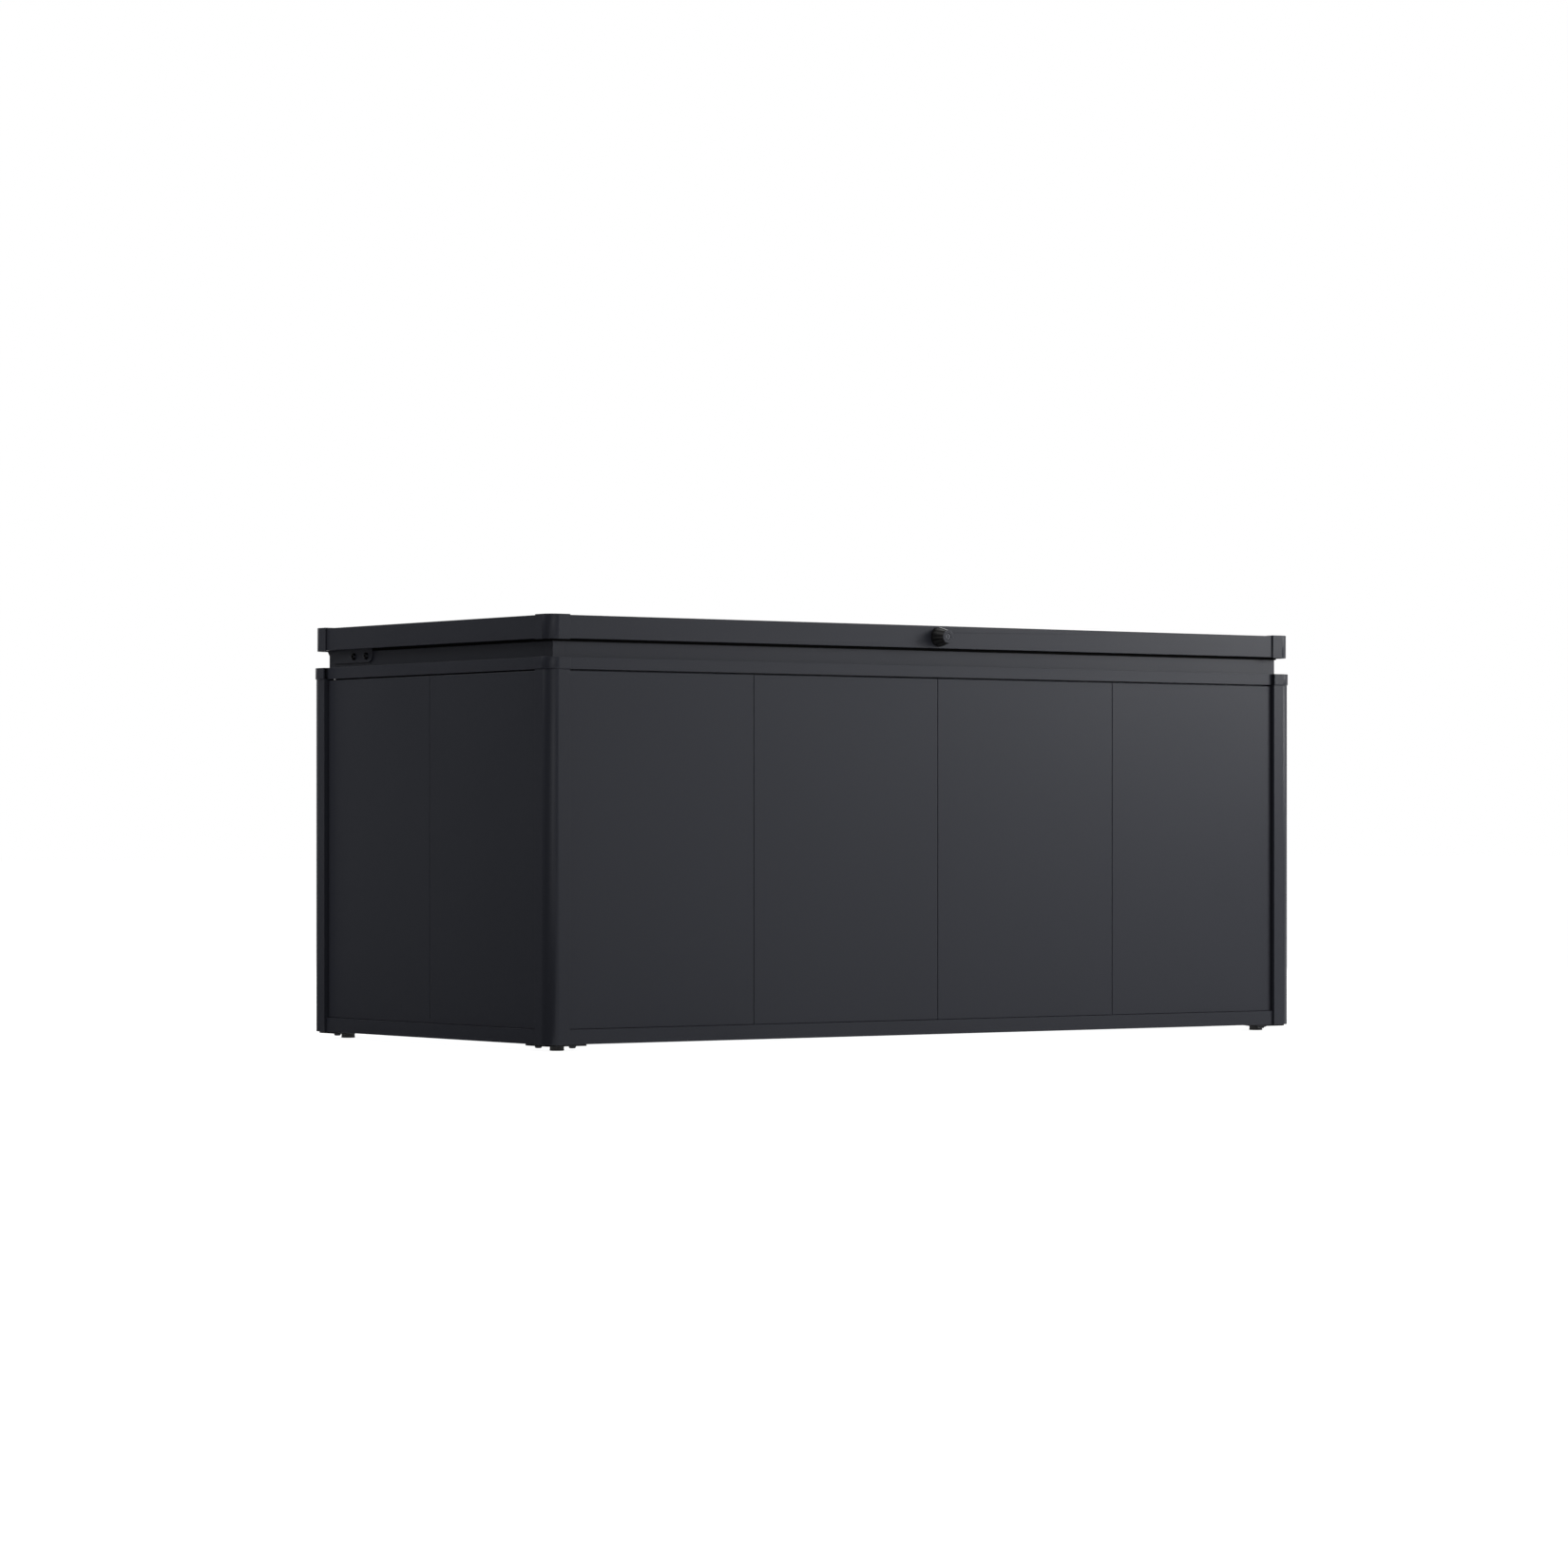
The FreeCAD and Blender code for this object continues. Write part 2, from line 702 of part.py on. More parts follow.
def hinge_plate(side, name):
    body = new_body("hinge_plate_" + name)
    start = half_width - neck_inset
    top = hinge_eye
    slope = hinge_eye * 0.7071
    points = [(-hinge_plate_length, top), (-hinge_plate_length, -hinge_plate_drop),
              (-hinge_plate_heel, -hinge_plate_drop), (-slope, -slope), (0, 0), (0, top)]
    slab(body, side, points, start, plate_wall)
    round_slab(body, side, 0, 0, hinge_eye, start, plate_wall)
    plate = body.Group[-1]
    low_y, low_z = -hinge_plate_length.value, -hinge_plate_drop.value

    def front_low(edge):
        return all(abs(v.Y - low_y) < 0.01 and abs(v.Z - low_z) < 0.01 for v in edge.Vertexes)
    dress(body, "Fillet", hinge_plate_round, plate, front_low)
    holes = new_sketch(body, "YZ_Plane", side * start)
    for behind in (hinge_bolt_one, hinge_bolt_two):
        disc(holes, -behind, -hinge_bolt_drop, bolt_radius + bolt_clearance)
    pocket(body, holes, plate_wall, back=side > 0)
    reach = plate_wall + hinge_gap + plate_wall + running_gap
    round_slab(body, side, 0, 0, pivot_head_radius, start - pivot_head, pivot_head)
    round_slab(body, side, 0, 0, pivot_radius, start, reach)
    round_slab(body, side, 0, 0, pivot_head_radius, start + reach, pivot_head)
    place(body, 0, pivot_y, pivot_z)
    return keep(body)


def hinge_arm(side, name):
    body = new_body("hinge_arm_" + name)
    start = half_width - neck_inset + plate_wall + hinge_gap
    top = sheet_low - pivot_z
    rear = lid_rail_start - pivot_inset + 2
    points = [(-arm_length, -hinge_eye), (0, -hinge_eye), (0, hinge_eye),
              (-rear, top), (-arm_length, top)]
    slab(body, side, points, start, plate_wall)
    round_slab(body, side, 0, 0, hinge_eye, start, plate_wall)
    width = half_width - rail_inset - profile_wall - start
    flange = [(-arm_length, top - plate_wall), (-rear, top - plate_wall),
              (-rear, top), (-arm_length, top)]
    slab(body, side, flange, start, width)
    round_hole(body, side, 0, 0, pivot_radius + running_gap, start, plate_wall)
    place(body, 0, pivot_y, pivot_z)
    return keep(body)


# Lid rails: folded channels, the bottom edge turned in under the rail.

def lid_rail(k):
    body = new_body("lid_rail_" + SIDES[k])
    wall = profile_wall
    face = rail_inset
    points = [(face, lid_low), (face, lid_top), (face + lid_flange, lid_top),
              (face + lid_flange, lid_top - wall), (face + wall, lid_top - wall),
              (face + wall, lid_low + wall), (face + lid_return, lid_low + wall),
              (face + lid_return, lid_low)]
    length = side_length(k) - 2 * lid_rail_start
    pad(body, loop(new_sketch(body, "YZ_Plane"), points), length, both=True)
    if k == 0:
        hole = new_sketch(body, "XZ_Plane", -face)
        disc(hole, 0, knob_z, spindle_radius + running_gap)
        pocket(body, hole, wall)
    at_side(body, k)
    return keep(body)


def lid_corner(k):
    body = new_body("lid_corner_" + CORNERS[k])
    low = lid_low - cap_overlap
    high = lid_top + cap_overlap
    angle_pad(body, 0, rail_inset, cap_leg, low, high)
    last = angle_pad(body, 0, rail_inset + lid_flange, cap_leg, lid_top, high)
    outer = dress(body, "Fillet", corner_radius, last, upright_at(0, 0))
    dress(body, "Fillet", corner_radius - rail_inset, outer, upright_at(rail_inset, rail_inset))
    at_corner(body, k)
    return keep(body)


def lid_sheet(side, name):
    width = half_width - lid_sheet_inset - seam_gap / 2
    depth = box_depth - 2 * lid_sheet_inset
    body = tray("lid_sheet_" + name, width, depth, lid_sheet_depth, sheet_wall)
    place(body, side * (seam_gap / 2 + width / 2), middle_y, sheet_low)
    return keep(body)


# Gas struts: the cylinder hangs on a stud in the side wall, the rod on a hanger
# under the lid. Both ends are flat eyes on plain pins.

strut_x = half_width - strut_inset
strut_foot_y = pivot_y - strut_reach * cosine(strut_angle)
strut_foot_z = pivot_z - strut_reach * sine(strut_angle)
strut_closed = 2 * strut_reach * sine(strut_angle / 2)
eye_face = strut_x + eye_width / 2 + eye_play
eye_back = strut_x - eye_width / 2 - eye_play


def strut_eye(body):
    loop_points = [(-eye_radius + 3, 0), (eye_radius - 3, 0),
                   (eye_radius - 3, eye_neck + 2), (-eye_radius + 3, eye_neck + 2)]
    pad(body, loop(new_sketch(body, "YZ_Plane"), loop_points), eye_width, both=True)
    pad(body, disc(new_sketch(body, "YZ_Plane"), 0, 0, eye_radius), eye_width, both=True)
    bore = disc(new_sketch(body, "YZ_Plane"), 0, 0, pin_radius + running_gap)
    pocket(body, bore, eye_width, both=True)


def strut_cylinder(side, name):
    body = new_body("strut_cylinder_" + name)
    top = strut_closed - strut_end_gap
    bore = rod_radius + rod_clearance
    turned(body, [(0, eye_neck), (strut_radius, eye_neck), (strut_radius, top), (bore, top),
                  (bore, strut_floor), (0, strut_floor)])
    strut_eye(body)
    turn = Rotation(Vector(1, 0, 0), strut_angle.value / 2)
    place(body, side * strut_x, strut_foot_y, strut_foot_z, turn)
    return keep(body)


def strut_rod(side, name):
    body = new_body("strut_rod_" + name)
    end = strut_closed - strut_floor - strut_floor_gap
    turned(body, [(0, eye_neck), (rod_radius, eye_neck), (rod_radius, end), (0, end)])
    strut_eye(body)
    turn = Rotation(Vector(1, 0, 0), 180 + strut_angle.value / 2)
    place(body, side * strut_x, pivot_y - strut_reach, pivot_z, turn)
    return keep(body)


def strut_stud(side, name):
    """Stand-off on the inside of the side wall that carries the cylinder's eye."""
    body = new_body("strut_stud_" + name)
    wall = half_width - panel_inset - sheet_wall
    collar = wall - eye_face
    pin = wall - eye_back
    turned(body, [(0, 0), (stud_base_radius, 0), (stud_base_radius, 3), (collar_radius, 3),
                  (collar_radius, collar), (pin_radius, collar), (pin_radius, pin),
                  (pivot_head_radius, pin), (pivot_head_radius, pin + pivot_head),
                  (0, pin + pivot_head)])
    turn = Rotation(Vector(0, 1, 0), -90 * side)
    place(body, side * wall, strut_foot_y, strut_foot_z, turn)
    return body


def strut_studs():
    group = doc.addObject("Part::Compound", "strut_studs")
    group.Links = [strut_stud(-1, "left"), strut_stud(1, "right")]
    return keep(group, "strut_studs")


def strut_hanger(side, name):
    """Bracket under the lid sheet that carries the rod's eye."""
    body = new_body("strut_hanger_" + name)
    start = strut_x + strut_radius + hanger_gap
    top = sheet_top - sheet_wall - pivot_z
    width = hanger_half
    points = [(-width, 0), (width, 0), (width, top), (-width, top)]
    slab(body, side, points, start, plate_wall)
    round_slab(body, side, 0, 0, width, start, plate_wall)
    flange = [(-width, top - plate_wall), (width, top - plate_wall), (width, top), (-width, top)]
    slab(body, side, flange, start, 20)
    round_slab(body, side, 0, 0, collar_radius, eye_face, start - eye_face)
    round_slab(body, side, 0, 0, pin_radius, eye_back, eye_face - eye_back)
    round_slab(body, side, 0, 0, pivot_head_radius, eye_back - pivot_head, pivot_head)
    place(body, 0, pivot_y - strut_reach, pivot_z)
    return body


def strut_hangers():
    group = doc.addObject("Part::Compound", "strut_hangers")
    group.Links = [strut_hanger(-1, "left"), strut_hanger(1, "right")]
    return keep(group, "strut_hangers")


# Lock: a tapered knob on the front rail turns a cam behind it, whose tongue
# swings under the keeper on the neck. A key cylinder sits in the knob's front.

def on_lock_axis(body):
    """Turns the body's own Z axis outward and puts it on the knob's axis."""
    at_side(body, 0, 0, rail_inset, knob_z, 90)


def knob():
    body = new_body("knob")
    low = running_gap
    front = running_gap + knob_reach
    bore = key_radius + running_gap
    floor = front - key_length - running_gap
    end = profile_wall + cam_gap + running_gap
    cone = turned(body, [(0, -end), (spindle_radius, -end), (spindle_radius, low),
                         (knob_radius, low), (knob_radius, low + knob_rim),
                         (knob_front_radius, front), (bore, front), (bore, floor), (0, floor)])
    taper = math.degrees(math.atan2(knob_radius.value - knob_front_radius.value,
                                    knob_reach.value - knob_rim.value))
    flute = body.newObject("PartDesign::SubtractiveCylinder", "knob_flute")
    flute.setExpression("Radius", flute_radius.text)
    flute.setExpression("Height", (knob_reach * 1.3).text)
    rise = math.tan(math.radians(taper)) * (flute_start.value - knob_rim.value)
    centre = knob_radius.value - rise + flute_radius.value - flute_depth.value
    flute.AttachmentOffset = FreeCAD.Placement(
        Vector(centre, 0, low.value + flute_start.value), Rotation(Vector(0, 1, 0), -taper))
    origin = [o for o in body.Origin.OriginFeatures if o.Role == "XY_Plane"][0]
    flute.AttachmentSupport = [(origin, "")]
    flute.MapMode = "FlatFace"
    doc.recompute()
    pattern = body.newObject("PartDesign::PolarPattern", "knob_flutes")
    pattern.Originals = [flute]
    axis = [o for o in body.Origin.OriginFeatures if o.Role == "Z_Axis"][0]
    pattern.Axis = (axis, [""])
    pattern.Angle = 360
    pattern.Occurrences = flute_count
    body.Tip = pattern
    doc.recompute()
    if pattern.Shape.Volume >= cone.Shape.Volume:
        raise RuntimeError("the knob's flutes cut nothing")
    on_lock_axis(body)
    return keep(body)


def latch_cam():
    body = new_body("latch_cam")
    near = profile_wall + cam_gap
    hub = new_sketch(body, "XY_Plane", -(near + running_gap))
    pad(body, disc(hub, 0, 0, cam_half + 6), cam_wall, back=True)
    arm = [(-cam_reach, -cam_half), (0, -cam_half), (0, cam_half), (-cam_reach, cam_half)]
    sketch = loop(new_sketch(body, "XY_Plane", -(near + running_gap)), arm)
    pad(body, sketch, cam_wall, back=True)
    inner = cam_tongue - cam_reach
    tongue = [(-cam_reach, -cam_half), (inner, -cam_half), (inner, cam_half),
              (-cam_reach, cam_half)]
    sketch = loop(new_sketch(body, "XY_Plane", -(near + running_gap)), tongue)
    pad(body, sketch, cam_wall + cam_depth, back=True)
    nut = new_sketch(body, "XY_Plane", -(near + running_gap + cam_wall))
    pad(body, disc(nut, 0, 0, cam_half + 2), 2.5, back=True)
    on_lock_axis(body)
    return keep(body)


def key_cylinder():
    body = new_body("key_cylinder")
    front = running_gap + knob_reach
    low = front - key_length
    turned(body, [(0, low), (key_radius, low), (key_radius, front - 0.6),
                  (key_radius - 0.6, front), (0, front)])
    x, y = key_slot_width / 2, key_slot_height / 2
    slot = loop(new_sketch(body, "XY_Plane", front), [(-x, -y), (x, -y), (x, y), (-x, y)])
    pocket(body, slot, key_slot_depth)
    on_lock_axis(body)
    return keep(body)


def lock_keeper():
    body = new_body("lock_keeper")
    face = neck_inset
    top = lid_low + keeper_rise + keeper_wall
    plate = [(-keeper_plate_half, lid_low + 0.5), (keeper_plate_half, lid_low + 0.5),
             (keeper_plate_half, top), (-keeper_plate_half, top)]
    sketch = loop(new_sketch(body, "XZ_Plane", -face), plate)
    pad(body, sketch, keeper_wall)
    low = lid_low + keeper_rise
    shelf = [(-keeper_half, low), (keeper_half, low), (keeper_half, top), (-keeper_half, top)]
    sketch = loop(new_sketch(body, "XZ_Plane", -face), shelf)
    pad(body, sketch, keeper_reach)
    at_side(body, 0)
    return keep(body)


def build():
    for k in range(4):
        corner_post(k)
        bottom_rail(k)
        top_rail(k)
        top_corner(k)
        foot_plate(k)
        levelling_foot(k)
        lid_rail(k)
        lid_corner(k)
    wall_panels()
    floor_sheet()
    frame_screws()
    for side, name in ((-1, "left"), (1, "right")):
        hinge_plate(side, name)
        hinge_arm(side, name)
        lid_sheet(side, name)
        strut_cylinder(side, name)
        strut_rod(side, name)
    strut_studs()
    strut_hangers()
    knob()
    latch_cam()
    key_cylinder()
    lock_keeper()


def check():
    for item in doc.Objects:
        if "Invalid" in item.State or "Error" in item.State:
            raise RuntimeError("%s failed: %s" % (item.Label, item.State))
    for piece in nodes:
        if piece.Shape.isNull() or not piece.Shape.isValid():
            raise RuntimeError("bad shape: " + piece.Label)


build()
doc.recompute()
check()
os.makedirs("parts", exist_ok=True)
for piece in nodes:
    piece.Shape.exportStep("parts/%s.step" % piece.Label)
    box = piece.Shape.BoundBox
    print("%-30s %d solids %10.1f mm3  x %.1f %.1f  y %.1f %.1f  z %.1f %.1f" % (
        piece.Label, len(piece.Shape.Solids), piece.Shape.Volume,
        box.XMin, box.XMax, box.YMin, box.YMax, box.ZMin, box.ZMax))
print(len(nodes), "sub-parts")
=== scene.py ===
import bmesh
import bpy
import math
from mathutils import Matrix, Vector


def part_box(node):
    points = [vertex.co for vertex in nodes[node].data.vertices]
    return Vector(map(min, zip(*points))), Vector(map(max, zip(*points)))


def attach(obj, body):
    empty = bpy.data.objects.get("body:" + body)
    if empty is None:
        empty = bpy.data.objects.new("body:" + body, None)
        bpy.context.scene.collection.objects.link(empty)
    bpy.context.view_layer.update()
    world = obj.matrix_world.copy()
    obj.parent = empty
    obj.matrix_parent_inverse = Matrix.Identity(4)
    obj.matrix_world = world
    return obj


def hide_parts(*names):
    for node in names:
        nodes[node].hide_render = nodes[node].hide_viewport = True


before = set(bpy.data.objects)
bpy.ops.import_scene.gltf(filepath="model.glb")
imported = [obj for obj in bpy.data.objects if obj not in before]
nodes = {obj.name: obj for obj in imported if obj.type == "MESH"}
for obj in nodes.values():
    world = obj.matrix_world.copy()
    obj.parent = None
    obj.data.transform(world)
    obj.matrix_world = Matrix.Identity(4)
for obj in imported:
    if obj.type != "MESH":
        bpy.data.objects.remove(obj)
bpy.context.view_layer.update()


# Corner posts, bottom rails, band rails and lid rails: folded steel sheet, cut and
# bent before coating. Anthracite polyester powder is baked on them, which leaves a
# smooth satin skin with a faint orange peel and soft edges.

def linear(code):
    """An sRGB hex value as linear red, green, blue and alpha."""
    channels = [int(code[i:i + 2], 16) / 255 for i in (1, 3, 5)]
    return [c / 12.92 if c <= 0.04045 else ((c + 0.055) / 1.055) ** 2.4
            for c in channels] + [1]


def add_node(owner, kind, inputs, **settings):
    """Adds a node; inputs maps a socket to a value or to the socket that feeds it."""
    node = owner.node_tree.nodes.new(kind)
    for name, value in settings.items():
        setattr(node, name, value)
    for socket, value in inputs.items():
        if isinstance(value, bpy.types.NodeSocket):
            owner.node_tree.links.new(value, node.inputs[socket])
        else:
            node.inputs[socket].default_value = value
    return node


def new_material(name):
    """A plain material, with its shader and its object coordinates."""
    material = bpy.data.materials.new(name)
    material.use_nodes = True
    shader = material.node_tree.nodes["Principled BSDF"]
    place = add_node(material, "ShaderNodeTexCoord", {}).outputs["Object"]
    return material, shader, place


def feed(material, shader, name, socket):
    """Links a node's output to one of the shader's inputs."""
    material.node_tree.links.new(socket, shader.inputs[name])


def powder_coat(name, thin, thick, smooth, rough):
    """Baked powder: its film is a little thinner and duller in some places than in others.

    Matting wax in the powder takes most of its mirror gloss, so the index is low.
    """
    cloud_size, peel_size, peel_height = 0.35, 0.0025, 0.00002
    material, shader, place = new_material(name)
    film = add_node(material, "ShaderNodeTexNoise",
                    {"Vector": place, "Scale": 1 / cloud_size, "Detail": 2.0})
    tone = add_node(material, "ShaderNodeMix",
                    {"Factor": film.outputs["Fac"], "A": linear(thin), "B": linear(thick)},
                    data_type="RGBA")
    gloss = add_node(material, "ShaderNodeMapRange",
                     {"Value": film.outputs["Fac"], "From Min": 0.3, "From Max": 0.7,
                      "To Min": smooth, "To Max": rough})
    peel = add_node(material, "ShaderNodeTexNoise",
                    {"Vector": place, "Scale": 1 / peel_size, "Detail": 1.0})
    bump = add_node(material, "ShaderNodeBump",
                    {"Height": peel.outputs["Fac"], "Strength": 0.5,
                     "Distance": peel_height})
    feed(material, shader, "Base Color", tone.outputs["Result"])
    feed(material, shader, "Roughness", gloss.outputs["Result"])
    feed(material, shader, "Normal", bump.outputs["Normal"])
    shader.inputs["IOR"].default_value = 1.25
    return material


def soften(piece, edge):
    """Rounds the cut and folded edges of a CAD piece without touching its mesh."""
    weld_distance, fold_angle = 0.00001, 32
    weld = piece.modifiers.new("weld", "WELD")
    weld.merge_threshold = weld_distance
    edges = piece.modifiers.new("edges", "BEVEL")
    edges.width = edge
    edges.segments = 2
    edges.limit_method = "ANGLE"
    edges.angle_limit = math.radians(fold_angle)
    edges.harden_normals = True


def finish_nodes(names, material, edge=0.0):
    """Gives CAD nodes their material, and rounds their edges by edge metres."""
    for name in names:
        piece = nodes[name]
        piece.data.materials.clear()
        piece.data.materials.append(material)
        if edge:
            soften(piece, edge)


corners = ("front_left", "front_right", "rear_right", "rear_left")
sides = ("front", "right", "rear", "left")
anthracite_frame = powder_coat("anthracite_powder_frame", "#35373f", "#393b43", 0.34, 0.40)
finish_nodes(["corner_post_" + c for c in corners], anthracite_frame, edge=0.0004)
finish_nodes(["bottom_rail_" + s for s in sides], anthracite_frame, edge=0.0004)
finish_nodes(["top_rail_" + s for s in sides], anthracite_frame, edge=0.0004)
finish_nodes(["lid_rail_" + s for s in sides], anthracite_frame, edge=0.0004)


# Corner caps of the band and the lid: thicker formed steel corners with their edges
# broken, coated in the same powder as the rails that they cover.

anthracite_caps = powder_coat("anthracite_powder_caps", "#363840", "#3a3c44", 0.33, 0.39)
finish_nodes(["top_corner_" + c for c in corners], anthracite_caps, edge=0.0005)
finish_nodes(["lid_corner_" + c for c in corners], anthracite_caps, edge=0.0006)


# Wall panels and lid sheets: trays of thin steel sheet, folded on a press brake and
# coated on both faces. Large flat faces show the powder's film as slow clouds.

anthracite_panel = powder_coat("anthracite_powder_panels", "#35373f", "#383a42", 0.37, 0.43)
finish_nodes(["front_panel_%d" % n for n in (1, 2, 3, 4)], anthracite_panel)
finish_nodes(["rear_panel_left", "rear_panel_right", "left_panel_front", "left_panel_rear",
              "right_panel_front", "right_panel_rear"], anthracite_panel)
finish_nodes(["lid_sheet_left", "lid_sheet_right"], anthracite_panel)


# Seam clips: long U shaped strips of zinc plated sheet, pushed from inside over the
# two flanges that meet at each seam. They hold the trays flush and close the gap.

def plated_steel(name, colour, roughness, metallic=1.0):
    """A thin plated or lacquered skin, whose shine varies a little from place to place."""
    stain_size, unevenness = 0.004, 0.06
    material, shader, place = new_material(name)
    stain = add_node(material, "ShaderNodeTexNoise",
                     {"Vector": place, "Scale": 1 / stain_size, "Detail": 3.0})
    shine = add_node(material, "ShaderNodeMapRange",
                     {"Value": stain.outputs["Fac"], "To Min": roughness - unevenness,
                      "To Max": roughness + unevenness})
    feed(material, shader, "Roughness", shine.outputs["Result"])
    shader.inputs["Base Color"].default_value = linear(colour)
    shader.inputs["Metallic"].default_value = metallic
    return material


def new_piece(shape, name, material, body):
    """Makes a finished shape an object that rides on one of the box's bodies."""
    smooth_below = 35
    bmesh.ops.recalc_face_normals(shape, faces=shape.faces)
    data = bpy.data.meshes.new(name)
    shape.to_mesh(data)
    shape.free()
    data.shade_smooth()
    data.set_sharp_from_angle(angle=math.radians(smooth_below))
    data.materials.append(material)
    piece = bpy.data.objects.new(name, data)
    bpy.context.scene.collection.objects.link(piece)
    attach(piece, body)
    return piece


def moved_verts(geometry):
    """The vertices among what an extrusion has drawn out."""
    return [part for part in geometry if isinstance(part, bmesh.types.BMVert)]


def strip(section, start, across, depth, run):
    """A long strip: its section, in millimetres across and in depth, is drawn along run."""
    shape = bmesh.new()
    ring = [shape.verts.new(Vector(start) + (Vector(across) * a + Vector(depth) * d) / 1000)
            for a, d in section]
    drawn = bmesh.ops.extrude_face_region(shape, geom=[shape.faces.new(ring)])["geom"]
    bmesh.ops.translate(shape, verts=moved_verts(drawn), vec=run)
    return shape


bright_zinc = plated_steel("bright_zinc_plate", "#b9bcbf", 0.35)
u_section = [(-1.9, -9), (-1.9, 0.85), (1.9, 0.85), (1.9, -9),
             (1.1, -9), (1.1, 0.05), (-1.1, 0.05), (-1.1, -9)]
clip_foot, clip_rise = 0.042, (0, 0, 0.635)
front_flange, rear_flange, front_seam = -0.3914, 0.4146, 0.436
side_flange, side_seam = 0.8815, 0.0116
for name, x, y, across, inward in (
        ("front_left", -front_seam, front_flange, (1, 0, 0), (0, 1, 0)),
        ("front_middle", 0, front_flange, (1, 0, 0), (0, 1, 0)),
        ("front_right", front_seam, front_flange, (1, 0, 0), (0, 1, 0)),
        ("right", side_flange, side_seam, (0, 1, 0), (-1, 0, 0)),
        ("rear", 0, rear_flange, (1, 0, 0), (0, -1, 0)),
        ("left", -side_flange, side_seam, (0, 1, 0), (1, 0, 0))):
    new_piece(strip(u_section, (x, y, clip_foot), across, inward, clip_rise),
              "seam_clip_" + name, bright_zinc, "body")

lid_flange, lid_clip_front, lid_clip_run = 0.7835, -0.378, (0, 0.776, 0)
new_piece(strip(u_section, (0, lid_clip_front, lid_flange), (1, 0, 0), (0, 0, -1),
                lid_clip_run),
          "seam_clip_lid", bright_zinc, "lid")


# Lid stiffeners: four hat profiles of folded sheet, glued and spot welded under the
# two lid sheets before coating, so that a person can lean on the lid.

hat_section = [(-30, 0), (-12, 0), (-9.2, -10.2), (9.2, -10.2), (12, 0), (30, 0),
               (30, -0.8), (12.6, -0.8), (9.8, -11), (-9.8, -11), (-12.6, -0.8),
               (-30, -0.8)]
sheet_underside, stiffener_front, stiffener_run = 0.7976, -0.385, (0, 0.79, 0)
for n, x in enumerate((-0.59, -0.295, 0.295, 0.59), start=1):
    new_piece(strip(hat_section, (x, stiffener_front, sheet_underside), (1, 0, 0),
                    (0, 0, 1), stiffener_run),
              "lid_stiffener_%d" % n, anthracite_panel, "lid")


# Floor sheet: hot dip galvanised steel, left uncoated. The zinc freezes in crystals
# about a centimetre wide, each with its own grey and its own shine.

def galvanised_sheet(name):
    """Zinc crystals, each of one grey and one shine."""
    crystal_size = 0.012
    material, shader, place = new_material(name)
    crystals = add_node(material, "ShaderNodeTexVoronoi",
                        {"Vector": place, "Scale": 1 / crystal_size})
    grey = add_node(material, "ShaderNodeMix",
                    {"Factor": crystals.outputs["Color"], "A": linear("#8b8f92"),
                     "B": linear("#a9adb0")}, data_type="RGBA")
    shine = add_node(material, "ShaderNodeMapRange",
                     {"Value": crystals.outputs["Color"], "To Min": 0.38, "To Max": 0.58})
    feed(material, shader, "Base Color", grey.outputs["Result"])
    feed(material, shader, "Roughness", shine.outputs["Result"])
    shader.inputs["Metallic"].default_value = 1.0
    return material


finish_nodes(["floor_sheet"], galvanised_sheet("galvanised_steel"))


# Corner plates: laser cut steel under the four corners, in a coat darker than the frame's.
# The cut edges are slightly rounded by tumbling.

dark_plate = powder_coat("dark_coated_plate", "#1b1c1f", "#202124", 0.45, 0.55)
finish_nodes(["foot_plate_" + c for c in corners], dark_plate, edge=0.0004)


# Hinge plates and hinge arms: laser cut steel in the same anthracite powder as the
# neck and the lid that they are fixed to.

finish_nodes(["hinge_plate_left", "hinge_plate_right", "hinge_arm_left", "hinge_arm_right"],
             anthracite_frame, edge=0.0004)


# Levelling feet: a black polyamide pad with a grip round its middle, moulded on a
# zinc plated stud. Spark eroded moulds leave the pad matt, with a fine grain.

def moulded_plastic(name, colour, roughness, grain=0.0008, index=1.5):
    """Matt plastic or rubber. Its grain is drawn coarser than the real one, so it shows."""
    grain_height = 0.00003
    material, shader, place = new_material(name)
    spark = add_node(material, "ShaderNodeTexNoise", {"Vector": place, "Scale": 1 / grain})
    bump = add_node(material, "ShaderNodeBump",
                    {"Height": spark.outputs["Fac"], "Strength": 0.4,
                     "Distance": grain_height})
    feed(material, shader, "Normal", bump.outputs["Normal"])
    shader.inputs["Base Color"].default_value = linear(colour)
    shader.inputs["Roughness"].default_value = roughness
    shader.inputs["IOR"].default_value = index
    return material


def spun(profile, steps, closed=False):
    """Spins a profile of radii and heights in millimetres once about the Z axis."""
    shape = bmesh.new()
    line = [shape.verts.new((r / 1000, 0, h / 1000)) for r, h in profile]
    lengths = [shape.edges.new(pair) for pair in zip(line, line[1:])]
    if closed:
        lengths.append(shape.edges.new((line[-1], line[0])))
    bmesh.ops.spin(shape, geom=line + lengths, cent=(0, 0, 0), axis=(0, 0, 1),
                   dvec=(0, 0, 0), angle=math.tau, steps=steps, use_merge=True)
    return shape


def turned(profile, place, steps=72, closed=False):
    """A spun profile with its poles closed, put in its place."""
    shape = spun(profile, steps, closed)
    bmesh.ops.remove_doubles(shape, verts=shape.verts, dist=0.000001)
    bmesh.ops.transform(shape, matrix=place, verts=shape.verts)
    return shape


